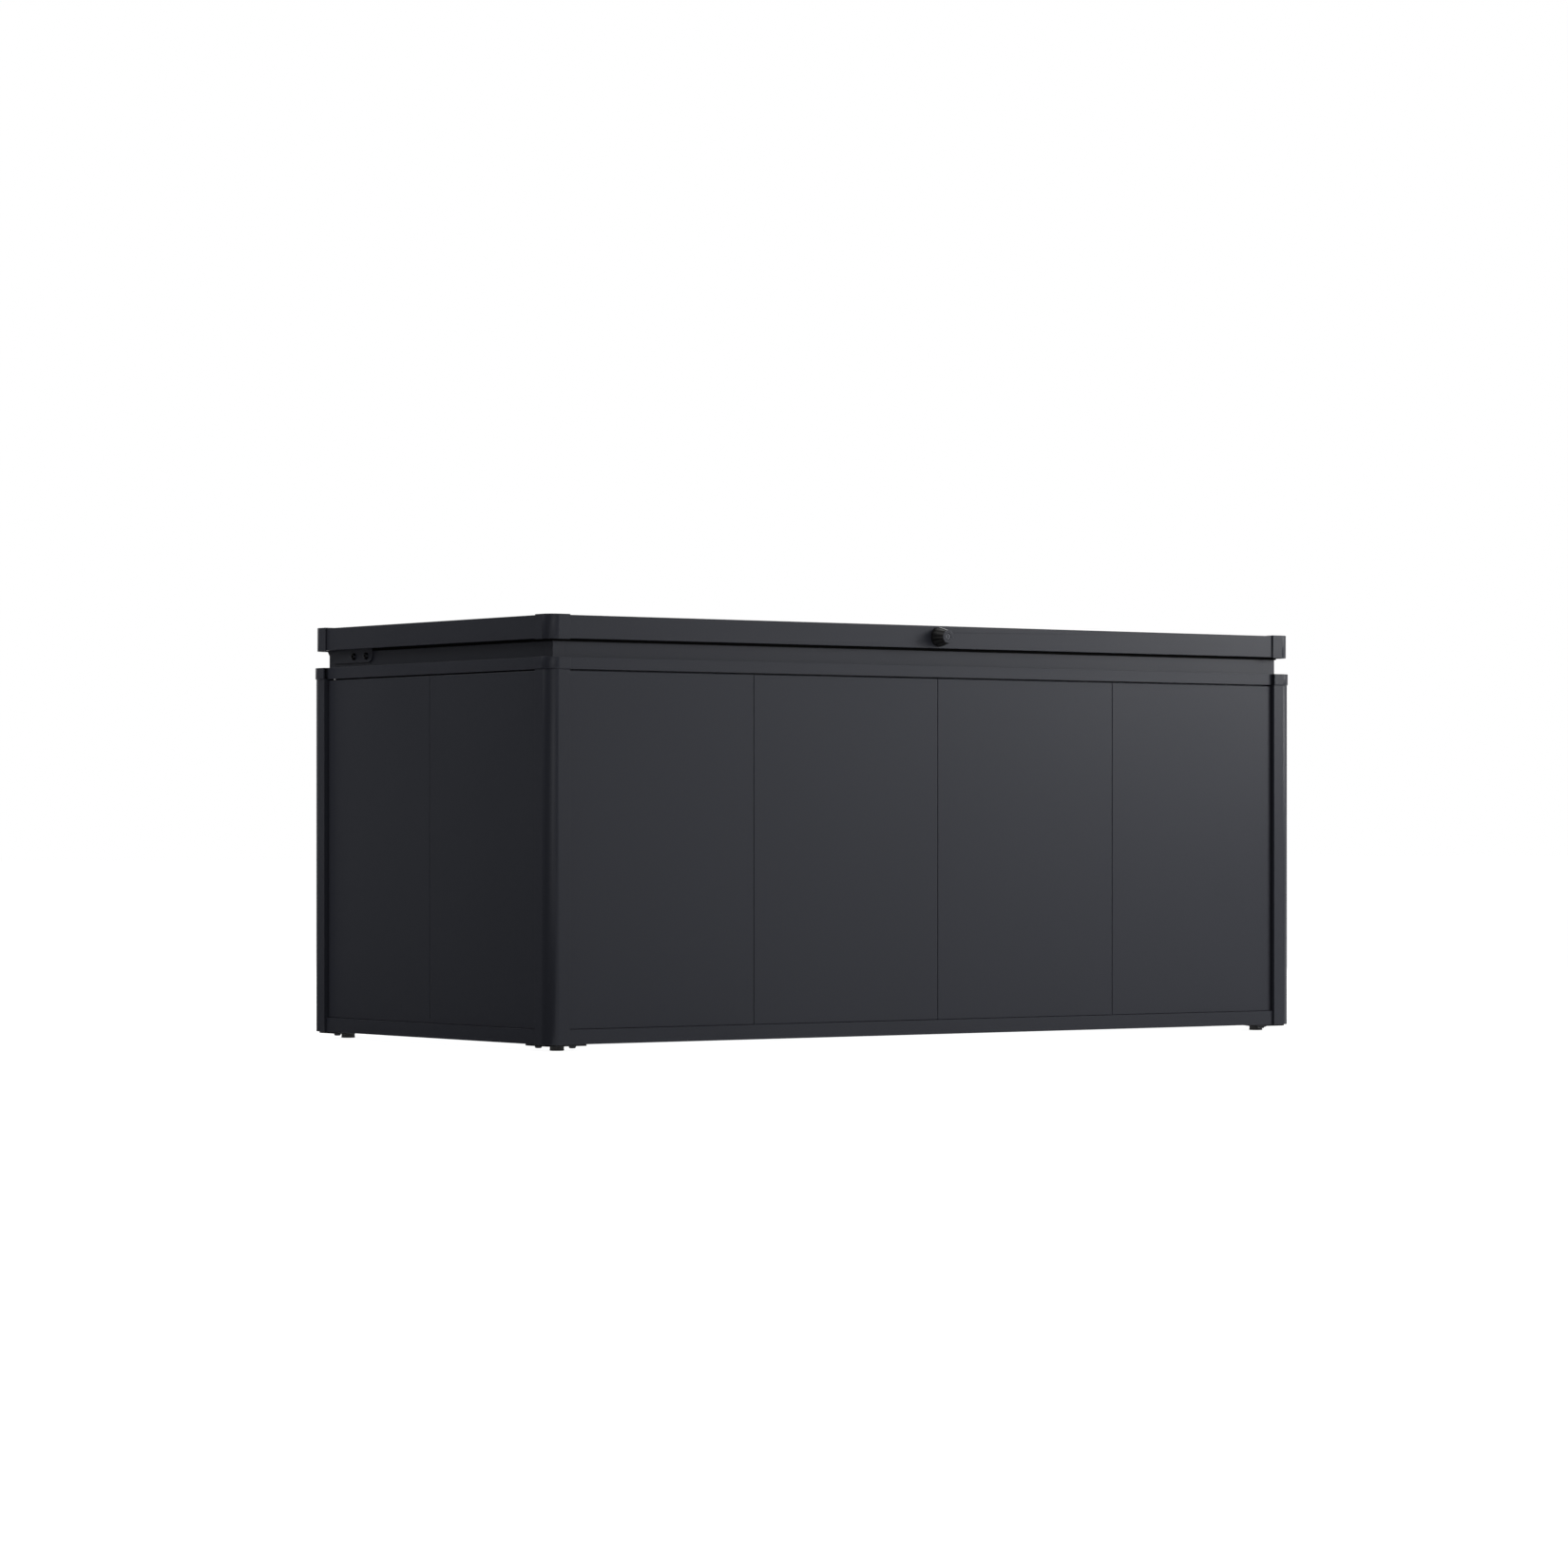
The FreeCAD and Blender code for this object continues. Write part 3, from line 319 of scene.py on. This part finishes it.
def foot_pad(place):
    """The pad, with every fourth strip of its middle pressed in as a finger groove."""
    strips, groove_every, groove_radius = 72, 4, 0.95
    grip_low, grip_high, grip_inside = 0.0026, 0.0068, 0.012
    pad = turned([(0, 0), (12.3, 0), (13.2, 0.4), (13.5, 1.2), (13.5, 2.2), (13.1, 2.7),
                  (13.1, 6.7), (13.5, 7.2), (13.5, 8.2), (12.9, 8.9), (5.2, 9), (0, 9)],
                 Matrix.Identity(4), strips)
    for vert in pad.verts:
        step = round(math.atan2(vert.co.y, vert.co.x) / math.tau * strips)
        on_grip = grip_low < vert.co.z < grip_high and vert.co.xy.length > grip_inside
        if on_grip and step % groove_every == 0:
            vert.co.xy *= groove_radius
    bmesh.ops.transform(pad, matrix=place, verts=pad.verts)
    return pad


polyamide = moulded_plastic("black_polyamide", "#0d0d0e", 0.6)
core, crest, pitch, turns = 4.2, 4.9, 1.5, 9
thread = [(0, 9), (core, 9)]
for n in range(turns):
    thread += [(crest, 9.4 + pitch * n), (crest, 9.6 + pitch * n), (core, 10.2 + pitch * n)]
thread += [(core, 22.3), (3.7, 23), (0, 23)]
foot_x, foot_front_y, foot_rear_y = 0.85, -0.3599, 0.3831
foot_places = {"front_left": (-foot_x, foot_front_y), "front_right": (foot_x, foot_front_y),
               "rear_right": (foot_x, foot_rear_y), "rear_left": (-foot_x, foot_rear_y)}
for corner, (x, y) in foot_places.items():
    on_floor = Matrix.Translation((x, y, 0))
    pad = new_piece(foot_pad(on_floor), "foot_pad_" + corner, polyamide,
                    "foot_" + corner)
    new_piece(turned(thread, on_floor, steps=32), "foot_stud_" + corner,
              bright_zinc, "foot_" + corner)
    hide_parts("levelling_foot_" + corner)


# Lock nuts: one flat hexagon nut holds each foot's stud above the floor sheet. Their
# outer corners are turned off, as on every forged nut.

def flat_nut(place):
    """One nut, its upper corners chamfered."""
    outside, bore, height, chamfer = 0.0098, 0.0053, 0.005, 0.0007
    nut = bmesh.new()
    bmesh.ops.create_circle(nut, segments=6, radius=outside)
    bmesh.ops.create_circle(nut, segments=24, radius=bore)
    ring = bmesh.ops.bridge_loops(nut, edges=nut.edges[:])["faces"]
    top = bmesh.ops.extrude_face_region(nut, geom=ring)["geom"]
    bmesh.ops.translate(nut, verts=moved_verts(top), vec=(0, 0, height))
    rim = [edge for edge in nut.edges
           if all(v.co.z > height / 2 and v.co.xy.length > (bore + outside) / 2
                  for v in edge.verts)]
    bmesh.ops.bevel(nut, geom=rim, offset=chamfer, offset_type="OFFSET", segments=1,
                    profile=0.5, affect="EDGES", material=-1)
    bmesh.ops.transform(nut, matrix=place, verts=nut.verts)
    return nut


floor_top = 0.0151
for corner, (x, y) in foot_places.items():
    new_piece(flat_nut(Matrix.Translation((x, y, floor_top))), "foot_nut_" + corner,
              bright_zinc, "body")


# Button head screws: M8, with a hexagon socket, zinc plated and then blackened. The
# domed heads stay a little glossy, and the sockets look black.

def button_head():
    """One head on the Z axis, its seat at zero and its socket upwards."""
    socket_corners, socket_mouth, socket_depth = 0.0029, 0.0043, 0.0026
    seat_level, rim_radius = 0.0001, 0.0035
    head = spun([(3.4, 4.4), (4.6, 4.3), (5.7, 3.7), (6.4, 2.7), (6.9, 1.3), (7, 0)], 24)
    seat = [edge for edge in head.edges if all(v.co.z < seat_level for v in edge.verts)]
    rim = [edge for edge in head.edges
           if all(v.co.xy.length < rim_radius for v in edge.verts)]
    bmesh.ops.edgeloop_fill(head, edges=seat)
    hexagon = bmesh.ops.create_circle(
        head, segments=6, radius=socket_corners,
        matrix=Matrix.Translation((0, 0, socket_mouth)))["verts"]
    mouth = [edge for edge in head.edges if all(v in hexagon for v in edge.verts)]
    bmesh.ops.bridge_loops(head, edges=rim + mouth)
    sunk = bmesh.ops.extrude_edge_only(head, edges=mouth)["geom"]
    bmesh.ops.translate(head, verts=moved_verts(sunk), vec=(0, 0, -socket_depth))
    bmesh.ops.edgeloop_fill(head, edges=[part for part in sunk
                                         if isinstance(part, bmesh.types.BMEdge)])
    bmesh.ops.recalc_face_normals(head, faces=head.faces)
    data = bpy.data.meshes.new("one_head")
    head.to_mesh(data)
    head.free()
    return data


def heads_at(places):
    """All the heads of one group; each socket stopped at its own angle."""
    angle_apart = 0.7
    one = button_head()
    group = bmesh.new()
    for n, place in enumerate(places):
        first = len(group.verts)
        group.from_mesh(one)
        group.verts.ensure_lookup_table()
        stopped = place @ Matrix.Rotation(angle_apart * n, 4, "Z")
        bmesh.ops.transform(group, matrix=stopped, verts=group.verts[first:])
    bpy.data.meshes.remove(one)
    return group


black_zinc = plated_steel("blackened_zinc_screws", "#2c2d30", 0.42)
plate_underside, head_down = 0.0094, Matrix.Rotation(math.pi, 4, "X")
plate_screws_x = (0.837, 0.882)
front_screws_y, rear_screws_y = (-0.3919, -0.3469), (0.4151, 0.3701)
plate_heads = [Matrix.Translation((side * x, y, plate_underside)) @ head_down
               for side, screws_y in ((-1, front_screws_y), (1, front_screws_y),
                                      (1, rear_screws_y), (-1, rear_screws_y))
               for x, y in zip(plate_screws_x, screws_y)]
hinge_plate_face, hinge_screws_y, hinge_screws_z = 0.8795, (0.3121, 0.2661), 0.743
hinge_heads = [Matrix.Translation((side * hinge_plate_face, y, hinge_screws_z))
               @ Matrix.Rotation(side * math.pi / 2, 4, "Y")
               for side in (-1, 1) for y in hinge_screws_y]
plate_screws = new_piece(heads_at(plate_heads), "corner_plate_screws", black_zinc, "body")
new_piece(heads_at(hinge_heads), "hinge_plate_screws", black_zinc, "body")
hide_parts("frame_screws")


# Neck seal: a self-adhesive strip of black cellular rubber round the neck, just under
# the lid's edge. It stops at the hinge plates and keeps wind and insects out. Its
# near-black
# colour is partly painted shade: it stands in for the dark shadow line that the lid's edge
# casts on the neck. It has no gloss.

# Nearly black: partly a real seal, partly painted shade for the shadow line under the lid's
# edge.
seal_rubber_and_painted_shade = moulded_plastic("black_seal_rubber_and_painted_shade", "#080808", 0.9, grain=0.0015,
                                  index=1.22)
seal_section = [(0, 0), (0, 1.9), (0.6, 2.5), (4.5, 2.5), (5.1, 1.9), (5.1, 0)]
neck_side, neck_front, neck_rear = 0.8765, -0.3864, 0.4096
seal_foot, front_half, rear_half, side_run = 0.7522, 0.879, 0.872, 0.6304
for side, x, y, outward, run in (
        ("front", -front_half, neck_front, (0, -1, 0), (2 * front_half, 0, 0)),
        ("right", neck_side, neck_front, (1, 0, 0), (0, side_run, 0)),
        ("left", -neck_side, neck_front, (-1, 0, 0), (0, side_run, 0)),
        ("rear", -rear_half, neck_rear, (0, 1, 0), (2 * rear_half, 0, 0))):
    new_piece(strip(seal_section, (x, y, seal_foot), (0, 0, 1), outward, run),
              "neck_seal_and_painted_shade_" + side, seal_rubber_and_painted_shade, "body")


# Gas struts: a black lacquered steel tube and a ground, hard chromed rod. Their studs
# and hangers are zinc plated steel, and a moulded ring guides the rod out of the tube.

finish_nodes(["strut_studs", "strut_hangers"], bright_zinc, edge=0.0003)
finish_nodes(["strut_cylinder_left", "strut_cylinder_right"],
             plated_steel("black_lacquer", "#101012", 0.3, metallic=0.0))
finish_nodes(["strut_rod_left", "strut_rod_right"],
             plated_steel("hard_chrome", "#c8c9cc", 0.12))
guide_ring = [(8.02, 316), (8.5, 316.5), (8.5, 323.4), (7.9, 324.6), (6.4, 325.2),
              (4.6, 325.2), (4.6, 322.2), (8.02, 322.2)]
stud_y, stud_z, strut_lean = 0.3185, 0.4831, 35
for side, x in (("left", -0.84), ("right", 0.84)):
    along_tube = (Matrix.Translation((x, stud_y, stud_z))
                  @ Matrix.Rotation(math.radians(strut_lean), 4, "X"))
    new_piece(turned(guide_ring, along_tube, steps=48, closed=True), "strut_guide_" + side,
              polyamide, "strut_cylinder_" + side)


# Lock: a tapered black knob with finger flutes, moulded in satin plastic. A washer in
# the lid's powder is glued to its front, round the dark key cylinder. The cam and the
# keeper behind it are zinc plated.

black_knob = moulded_plastic("black_knob", "#0b0b0c", 0.55, index=1.35)
finish_nodes(["knob"], black_knob, edge=0.0004)
finish_nodes(["key_cylinder"], plated_steel("dark_nickel", "#38393c", 0.35), edge=0.0002)
washer = [(6.4, 0), (12.5, 0), (12.5, 0.4), (12.2, 0.7), (6.6, 0.7), (6.4, 0.5)]
knob_front, knob_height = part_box("knob")[0][1], 0.7785
facing_front = (Matrix.Translation((0, knob_front, knob_height))
                @ Matrix.Rotation(math.pi / 2, 4, "X"))
new_piece(turned(washer, facing_front, closed=True), "knob_washer", anthracite_caps, "knob")
finish_nodes(["latch_cam", "lock_keeper"], bright_zinc, edge=0.0003)


# Studio: a pale floor, a grey surround, five soft boxes and four dark cards. The camera
# and shiny surfaces see the floor and the surround as white, and the floor keeps the
# shadow. The cards are seen by shiny surfaces only, as dark stripes on round corners.

def seen_or_mirrored(owner):
    """One for rays that come straight from the camera, a mirror or glass, else zero."""
    path = add_node(owner, "ShaderNodeLightPath", {}).outputs
    mirrored = add_node(owner, "ShaderNodeMath",
                        {0: path["Is Camera Ray"], 1: path["Is Glossy Ray"]},
                        operation="MAXIMUM").outputs["Value"]
    return add_node(owner, "ShaderNodeMath",
                    {0: mirrored, 1: path["Is Transmission Ray"]},
                    operation="MAXIMUM").outputs["Value"]


surround_light, surround_seen = 0.2, 1.0
world = bpy.data.worlds.new("studio")
bpy.context.scene.world = world
world.use_nodes = True
level = add_node(world, "ShaderNodeMapRange",
                 {"Value": seen_or_mirrored(world), "To Min": surround_light,
                  "To Max": surround_seen})
surround = world.node_tree.nodes["Background"]
surround.inputs["Color"].default_value = (1, 1, 1, 1)
world.node_tree.links.new(level.outputs["Result"], surround.inputs["Strength"])


def studio_card(name, place, across, up, material):
    """A flat stage piece, seen or not, that is no part of the box."""
    sheet = bmesh.new()
    bmesh.ops.create_grid(sheet, x_segments=1, y_segments=1, size=0.5)
    across, up = Vector(across), Vector(up)
    turn = Matrix((across, up, across.cross(up))).transposed().to_4x4()
    bmesh.ops.transform(sheet, matrix=Matrix.Translation(place) @ turn, verts=sheet.verts)
    data = bpy.data.meshes.new(name)
    sheet.to_mesh(data)
    sheet.free()
    data.materials.append(material)
    card = bpy.data.objects.new(name, data)
    bpy.context.scene.collection.objects.link(card)
    return card


floor_grey, seen_grey, seen_glow = 0.6, 0.4, 0.93
pale = bpy.data.materials.new("pale_floor")
pale.use_nodes = True
output = pale.node_tree.nodes["Material Output"]
pale.node_tree.nodes.remove(pale.node_tree.nodes["Principled BSDF"])
matt = add_node(pale, "ShaderNodeBsdfDiffuse", {"Color": (floor_grey,) * 3 + (1,)})
kept = add_node(pale, "ShaderNodeBsdfDiffuse", {"Color": (seen_grey,) * 3 + (1,)})
glow = add_node(pale, "ShaderNodeEmission",
                {"Color": (1, 1, 1, 1), "Strength": seen_glow})
white = add_node(pale, "ShaderNodeAddShader", {0: kept.outputs[0], 1: glow.outputs[0]})
seen_floor = add_node(pale, "ShaderNodeMixShader",
                      {0: seen_or_mirrored(pale), 1: matt.outputs[0], 2: white.outputs[0]})
pale.node_tree.links.new(seen_floor.outputs[0], output.inputs["Surface"])
floor_width = 120
studio_card("studio_floor", (0, 0, 0), (floor_width, 0, 0), (0, floor_width, 0), pale)

for name, place, across, up, colour in (
        ("black_card_left", (-2.2, -0.25, 1.0), (0, 1.9, 0), (0, 0, 2.0), "#141414"),
        ("grey_card_left", (-2.2, 2.6, 1.0), (0, 3.8, 0), (0, 0, 2.0), "#4a4a4a"),
        ("grey_card_low", (-1.55, 1.65, 0.004), (1.3, 0, 0), (0, 5.7, 0), "#3a3a3a"),
        ("black_card_front", (-0.55, -2.9, 0.9), (0.9, 0, 0), (0, 0, 1.8), "#141414")):
    felt = bpy.data.materials.new(name + "_cloth")
    felt.use_nodes = True
    felt_shader = felt.node_tree.nodes["Principled BSDF"]
    felt_shader.inputs["Base Color"].default_value = linear(colour)
    felt_shader.inputs["Roughness"].default_value = 1.0
    card = studio_card(name, place, across, up, felt)
    card.visible_camera = False
    card.visible_shadow = False
    card.visible_diffuse = False


def soft_box(name, place, target, size, watts, spread=180):
    """A square soft box; a honeycomb grid in front of it narrows its spread."""
    lamp = bpy.data.lights.new(name, "AREA")
    lamp.shape = "SQUARE"
    lamp.size = size
    lamp.energy = watts
    lamp.spread = math.radians(spread)
    box = bpy.data.objects.new(name, lamp)
    box.location = place
    towards = Vector(target) - Vector(place)
    box.rotation_euler = towards.to_track_quat("-Z", "Y").to_euler()
    box.visible_camera = False
    bpy.context.scene.collection.objects.link(box)


box_middle = (0, 0, 0.4)
soft_box("key_right", (3.4, -2.6, 1.5), (0.6, -0.4, 1.0), size=1.2, watts=7.7, spread=60)
soft_box("front_left", (-4.6, -6.4, 2.0), box_middle, size=2.0, watts=34)
soft_box("front_right", (4.6, -6.4, 2.0), box_middle, size=2.0, watts=46)
soft_box("behind_right", (3.2, 2.8, 2.4), box_middle, size=3.2, watts=175)
soft_box("behind_left", (-2.9, 2.2, 3.1), (-0.5, 0.1, 0.4), size=2.0, watts=36)

bpy.context.scene.view_settings.view_transform = "Standard"


# Camera: level, at half the box's height, turned to the corner between the front and
# the left side, with its shift at the photograph's framing.

camera_data = bpy.data.cameras.new("camera")
camera_data.sensor_width = 36
camera_data.lens = 116.87
camera_data.shift_y = 0.0324
camera = bpy.data.objects.new("camera", camera_data)
camera.location = (-5.997, -8.191, 0.397)
camera.rotation_euler = (math.radians(90), 0, math.radians(-35.87))
bpy.context.scene.collection.objects.link(camera)
bpy.context.scene.camera = camera
